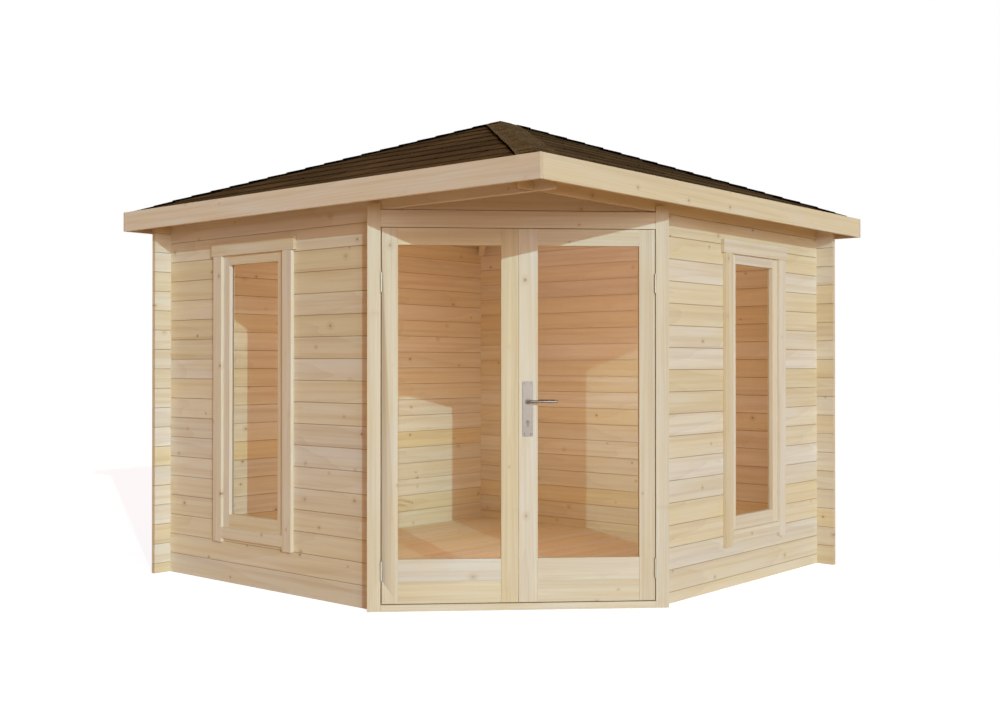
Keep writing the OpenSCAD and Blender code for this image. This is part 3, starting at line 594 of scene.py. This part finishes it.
def makeShingles(side, turn):
    shape, tone, felt = newFelt()
    length = shingle["run"] / math.cos(roof["angle"])
    tilt = roof["angle"] - math.atan(shingle["thick"] / length)
    rows = math.ceil((roof["cover"] - shingle["first"]) / shingle["run"]) + 1
    for row in range(rows):
        runLow = max(0, shingle["first"] + (row - 1) * shingle["run"])
        foot = Vector((0, runLow - roof["cover"], roof["eaveZ"] + (roof["edge"] - roof["cover"] + runLow) * roof["rise"]
                       + shingle["thick"] * shingle["bed"]))
        half = roof["cover"] - runLow + shingle["spare"]
        start = -half - random.uniform(*shingle["stagger"][row % 2])
        for column in range(math.ceil(2 * half / shingle["tab"]) + 1):
            middle = start + shingle["tab"] * (column + 0.5)
            shade = random.random()
            lift = random.uniform(*shingle["wobble"])
            high, thick = length + shingle["overlap"], shingle["thick"]
            made = bmesh.ops.create_cube(shape, size=1.0)["verts"]
            place = (Matrix.Translation(foot + Vector((middle, 0, lift))) @ Matrix.Rotation(tilt, 4, "X")
                     @ Matrix.Translation((0, high / 2, thick / 2))
                     @ Matrix.Diagonal((shingle["tab"] - shingle["slot"], high, thick, 1)))
            bmesh.ops.transform(shape, matrix=place, verts=made)
            for vert in made:
                vert[tone] = shade
    # the butts and sides get the painted black and shade, the butts less of it
    markFeltEdgeShade(shape, felt, frontSlope, shingle["buttShade"])
    # the hips cut the courses off
    for outward in (Vector((1, 1, 0)), Vector((-1, 1, 0))):
        cutAway(shape, outward * -shingle["hipGap"], outward)
    bmesh.ops.recalc_face_normals(shape, faces=shape.faces)
    bmesh.ops.rotate(shape, matrix=turn, verts=shape.verts)
    finishPiece(side + "Shingles", shape, shingleFelt, "house", [side + "_shingles"])


for side, turn in zip(sides, quarterTurns):
    makeShingles(side, turn)

# caps bent over the hips, each lying on the one below it; the lowest ones taper down onto the corner
cap = dict(count=19.2, first=0.67, wing=0.098, bow=1.6, wander=0.002, thick=0.014, lift=0.0135, step=0.0045,
           overlap=0.025, crest=0.002, crestHalf=0.04, flare=0.0115, flareBow=9, tail=0.22, sink=0.007,
           shade=(1.0, 1.8), buttShade=0.35, hipGap=0.0003)
hipStart = (roof["edge"] - roof["cover"]) + cap["wing"] / math.sqrt(2)
hipUp = Vector((1, 1, roof["rise"]))
hipLength = (roof["edge"] - hipStart) * hipUp.length
capPitch = hipLength / cap["count"]
frontWay = Vector((1 + roof["rise"] ** 2, -1, -roof["rise"])).normalized()
leftWay = Vector((-1, 1 + roof["rise"] ** 2, -roof["rise"])).normalized()
upWay = Vector((-roof["rise"], -roof["rise"], 1)).normalized()
corner = Vector((-roof["edge"], -roof["edge"], roof["eaveZ"]))
caps = bmesh.new()
for turn in quarterTurns:
    shape, tone, felt = newFelt()
    for number in range(math.ceil(cap["count"])):
        made = bmesh.ops.create_grid(shape, x_segments=1, y_segments=12, size=0.5)["verts"]
        shade, wander = random.uniform(*cap["shade"]), random.uniform(-cap["wander"], cap["wander"])
        foot = max(0, number - 1 + cap["first"]) * capPitch
        head = (number + cap["first"]) * capPitch + cap["overlap"]
        for vert in made:
            up = foot + (vert.co.x + 0.5) * (head - foot)
            out = vert.co.y * 2
            across = abs(out) ** cap["bow"] * cap["wing"] + (wander if abs(out) > 0.9 else 0)
            height = (cap["lift"] - cap["step"] * (up - foot) / capPitch
                      + cap["crest"] * max(0, 1 - across / cap["crestHalf"])
                      + cap["flare"] * abs(out) ** cap["flareBow"] - cap["sink"] * max(0, 1 - up / cap["tail"]))
            vert.co = (corner + hipUp * (hipStart + up / hipUp.length)
                       + (frontWay if out > 0 else leftWay) * across + upWay * height)
            vert[tone] = shade
        bmesh.ops.solidify(shape, geom=list({f for v in made for f in v.link_faces}), thickness=cap["thick"])
    # the caps' cut edges get the same painted black and shade, so their raised sides read as dark lines
    markFeltEdgeShade(shape, felt, hipUp.normalized(), cap["buttShade"])
    for outward in (Vector((1, 0, 0)), Vector((0, 1, 0))):
        cutAway(shape, outward * -cap["hipGap"], outward)
    bmesh.ops.rotate(shape, matrix=turn, verts=shape.verts)
    addShape(caps, shape)

# a square piece of felt closes the top
apex = dict(half=0.094, thick=0.009, lift=0.0158, soft=0.02, shade=0.5)
shape, tone, felt = newFelt()
for vert in bmesh.ops.create_grid(shape, x_segments=12, y_segments=12, size=apex["half"])["verts"]:
    level = math.hypot(max(abs(vert.co.x), abs(vert.co.y)), apex["soft"])
    vert.co.z = roof["eaveZ"] + roof["edge"] * roof["rise"] + apex["lift"] - roof["rise"] * level
    vert[tone] = apex["shade"]
bmesh.ops.solidify(shape, geom=shape.faces[:], thickness=apex["thick"])
# the apex felt's edges get the same painted black and shade
markFeltEdgeShade(shape, felt)
addShape(caps, shape)
bmesh.ops.recalc_face_normals(caps, faces=caps.faces)
finishPiece("hipCaps", caps, shingleFelt, "house", ["hip_caps"])
print("roof covered")

for name in cadNodes:
    if name.endswith("glass"):
        finish = floatGlass
    elif name.endswith("hinges") or name == "hinge_pins":
        finish = zincSteel
    else:
        continue
    cadNodes[name].data.materials.clear()
    cadNodes[name].data.materials.append(finish)

# the lock's plates, their screws, and a profile cylinder in the key opening
lock = dict(corner=0.004, ease=0.0008, screwRadius=0.0042, screwRise=0.0012, screwUp=(0.0115, 0.2635),
            screwOut=0.0155, plate=0.0043, leverU=0.0417, leverZ=1.04, plateZ=0.865, keyZ=0.936)
cylinder = dict(plug=0.0082, deep=0.005, sunk=0.0018, slit=0.0018, stem=(0.0094, 0.0042, 0.0165), stemSunk=0.0022,
                stemDrop=0.0155)
plates = cadCopy("lock_plates")
plates.transform(doorPlace.inverted())
low, high = min(v.co.z for v in plates.verts), max(v.co.z for v in plates.verts)
corners = [e for e in plates.edges if abs((e.verts[0].co - e.verts[1].co).normalized().y) > 0.9
           and (abs(e.verts[0].co.z - low) < 0.001 or abs(e.verts[0].co.z - high) < 0.001)]
bmesh.ops.bevel(plates, geom=corners, offset=lock["corner"], offset_type="OFFSET", segments=4, profile=0.5,
                affect="EDGES", material=-1)
roundEdges(plates, lock["ease"], 1)
plates.transform(doorPlace)
finishPiece("lockPlates", plates, brushedSteel, cadNodes["lock_plates"]["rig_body"], ["lock_plates"])
screws, plugs = bmesh.new(), bmesh.new()
for face in (-1, 1):
    skin = -lock["plate"] if face < 0 else leaf["thick"] + lock["plate"]
    outward = Matrix.Rotation(math.radians(-90 * face), 4, "X")
    for out in (-lock["screwOut"], lock["screwOut"]):
        for up in lock["screwUp"]:
            head = bmesh.ops.create_cone(screws, cap_ends=True, segments=16, radius1=lock["screwRadius"],
                                         radius2=lock["screwRadius"] * 0.8, depth=lock["screwRise"])["verts"]
            at = (lock["leverU"] + out, skin + face * lock["screwRise"] / 2, lock["plateZ"] + up)
            bmesh.ops.transform(screws, matrix=Matrix.Translation(at) @ outward, verts=head)
    part = bmesh.new()
    bmesh.ops.create_cone(part, cap_ends=True, segments=32, radius1=cylinder["plug"], radius2=cylinder["plug"],
                          depth=cylinder["deep"])
    bmesh.ops.transform(part, matrix=Matrix.Translation((0, skin - face * cylinder["sunk"], 0)) @ outward,
                        verts=part.verts)
    halves = cutBoards(part, Vector((1, 0, 0)), [-0.02, 0, 0.02], cylinder["slit"])  # the key's slit parts the plug
    stem = bmesh.ops.create_cube(halves, size=1.0)["verts"]
    at = (0, skin - face * cylinder["stemSunk"], -cylinder["stemDrop"])
    bmesh.ops.transform(halves, matrix=Matrix.Translation(at) @ Matrix.Diagonal(cylinder["stem"] + (1,)), verts=stem)
    bmesh.ops.translate(halves, vec=(lock["leverU"], 0, lock["keyZ"]), verts=halves.verts)
    addShape(plugs, halves)
for shape, piece in ((screws, "lockScrews"), (plugs, "lockCylinders")):
    shape.transform(doorPlace)
    bmesh.ops.recalc_face_normals(shape, faces=shape.faces)
    finishPiece(piece, shape, plainSteel, cadNodes["lock_plates"]["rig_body"])

# the lever: a bent round bar on each side, on one spindle
lever = dict(gap=0.0006, collar=0.0125, collarRise=0.0035, reach=0.041, bend=0.012, length=0.148, radius=0.006,
             endRound=0.002)
shape = bmesh.new()
for face in (-1, 1):
    skin = -lock["plate"] - lever["gap"] if face < 0 else leaf["thick"] + lock["plate"] + lever["gap"]
    axis = -lever["reach"] if face < 0 else leaf["thick"] + lever["reach"]
    path = bpy.data.curves.new("leverPath", "CURVE")
    path.dimensions = "3D"
    path.bevel_depth, path.bevel_resolution, path.use_fill_caps = lever["radius"], 5, True
    spline = path.splines.new("POLY")
    bends = [math.radians(15 * step) for step in range(7)]
    points = ([(0, skin)]
              + [(lever["bend"] * (1 - math.cos(a)), axis - face * lever["bend"] * (1 - math.sin(a))) for a in bends]
              + [(lever["length"] - lever["radius"] / 2, axis)])
    spline.points.add(len(points) - 1)
    for point, (u, v) in zip(spline.points, points):
        point.co = (lock["leverU"] + u, v, lock["leverZ"], 1)
    bar = bpy.data.objects.new("leverPath", path)
    part = bmesh.new()
    part.from_mesh(bar.to_mesh())
    bar.to_mesh_clear()
    bpy.data.objects.remove(bar)
    bmesh.ops.remove_doubles(part, verts=part.verts, dist=0.00001)
    ends = [e for e in part.edges if e.is_manifold and e.calc_face_angle() > 1.2]
    bmesh.ops.bevel(part, geom=ends, offset=lever["endRound"], offset_type="OFFSET", segments=3, profile=0.5,
                    affect="EDGES", material=-1)
    collar = bmesh.ops.create_cone(part, cap_ends=True, segments=32, radius1=lever["collar"],
                                   radius2=lever["collar"] * 0.85, depth=lever["collarRise"])["verts"]
    at = (lock["leverU"], skin + face * lever["collarRise"] / 2, lock["leverZ"])
    bmesh.ops.transform(part, matrix=Matrix.Translation(at) @ Matrix.Rotation(math.radians(-90 * face), 4, "X"),
                        verts=collar)
    addShape(shape, part)
shape.transform(doorPlace)
bmesh.ops.recalc_face_normals(shape, faces=shape.faces)
finishPiece("doorLever", shape, brushedSteel, cadNodes["lever"]["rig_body"], ["lever"], 40)
print("metal dressed")

# an edge board closes the floor against the threshold
toDoor = doorPlace.inverted()
sill = [toDoor @ v.co for v in cadNodes["threshold"].data.vertices]
sillBack = max(spot.y for spot in sill)
sillHalf = max(spot.x for spot in sill if spot.y > sillBack - 0.001)
floorFront = min((toDoor @ v.co).y for v in cadNodes["floor"].data.vertices)
low, high = (corner.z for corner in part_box("floor"))
edgeBoard = bmesh.new()
bmesh.ops.create_cube(edgeBoard, size=1, matrix=Matrix.Translation((0, (sillBack + floorFront) / 2, (low + high) / 2))
                      @ Matrix.Diagonal((2 * sillHalf, floorFront - sillBack - 2 * boards["floorGap"], high - low, 1)))
edgeBoard.transform(doorPlace)
roundEdges(edgeBoard, boards["floorEase"])
layGrain(edgeBoard)
finishPiece("floorEdgeBoard", edgeBoard, boardWood, "house")
print("floor closed")

# light: a cool low sun, a broad soft fill from the same side, a warm sky and a warm lamp in the room
light = dict(
    sun=1.6, sunWay=(0.835, -0.472, 0.284), sunSize=0.3, sunColour=(0.52, 0.83, 1.0),
    fill=1.22, fillWay=(0.88, -0.46, 0.06), fillSize=25, fillColour=(0.8, 0.91, 1.0),
    sky=0.42, skyColour=(1.0, 0.56, 0.33),
    lamp=24.8, lampAt=(0, 0, 1.3), lampSize=0.4, lampColour=(1.0, 0.683, 0.633),
    floorColour="#DCC8A8", floorGlow=(0.68, 0.79, 0.88))


# 1 where a surface is seen by the camera, in a mirror or through glass, and 0 where it only gives light
def seenFactor(tree):
    rays = addNode(tree, "ShaderNodeLightPath")
    mirrored = addNode(tree, "ShaderNodeMath", {"operation": "MAXIMUM"},
                       {0: rays.outputs["Is Camera Ray"], 1: rays.outputs["Is Glossy Ray"]})
    seen = addNode(tree, "ShaderNodeMath", {"operation": "MAXIMUM"},
                   {0: mirrored.outputs[0], 1: rays.outputs["Is Transmission Ray"]})
    return seen.outputs[0]


ground, tree = newMaterial("paleFloor")
plain = addNode(tree, "ShaderNodeBsdfPrincipled", {"Base Color": linear(light["floorColour"]), "Roughness": 0.9,
                "Specular IOR Level": 0.0, "Emission Color": light["floorGlow"] + (1,)},
                {"Emission Strength": seenFactor(tree)})
addNode(tree, "ShaderNodeOutputMaterial", {}, {"Surface": plain.outputs[0]})
bpy.ops.mesh.primitive_plane_add(size=120)
floor = bpy.context.object
floor.name = "paleFloor"
floor.data.materials.append(ground)

world = bpy.data.worlds.new("softSky")
world.use_nodes = True
tree = world.node_tree
tree.nodes.clear()
sky = addNode(tree, "ShaderNodeBackground", {"Color": light["skyColour"] + (1,), "Strength": light["sky"]})
white = addNode(tree, "ShaderNodeBackground", {"Color": (1, 1, 1, 1), "Strength": 1.0})
mix = addNode(tree, "ShaderNodeMixShader", {}, {0: seenFactor(tree), 1: sky.outputs[0], 2: white.outputs[0]})
addNode(tree, "ShaderNodeOutputWorld", {}, {"Surface": mix.outputs[0]})
bpy.context.scene.world = world

for name in ("sun", "fill"):
    sun = bpy.data.objects.new(name, bpy.data.lights.new(name, "SUN"))
    sun.data.energy = light[name]
    sun.data.angle = math.radians(light[name + "Size"])
    sun.data.color = light[name + "Colour"]
    sun.rotation_euler = Vector(light[name + "Way"]).to_track_quat("Z", "Y").to_euler()
    bpy.context.scene.collection.objects.link(sun)

# a soft lamp in the room, seen only by what it lights
lamp = bpy.data.objects.new("roomLamp", bpy.data.lights.new("roomLamp", "POINT"))
lamp.data.energy = light["lamp"]
lamp.data.shadow_soft_size = light["lampSize"]
lamp.data.color = light["lampColour"]
lamp.location = light["lampAt"]
lamp.visible_camera = lamp.visible_glossy = lamp.visible_transmission = False
bpy.context.scene.collection.objects.link(lamp)

view = dict(at=(4.7415, -5.5199, 1.2295), tilt=90.3985, turn=40.685, lens=43.456, sensor=36)
camera = bpy.data.objects.new("camera", bpy.data.cameras.new("camera"))
camera.location = view["at"]
camera.rotation_euler = (math.radians(view["tilt"]), 0, math.radians(view["turn"]))
camera.data.lens = view["lens"]
camera.data.sensor_width = view["sensor"]
camera.data.clip_end = 200
bpy.context.scene.collection.objects.link(camera)
bpy.context.scene.camera = camera
bpy.context.scene.view_settings.view_transform = "Standard"

print("scene ready")
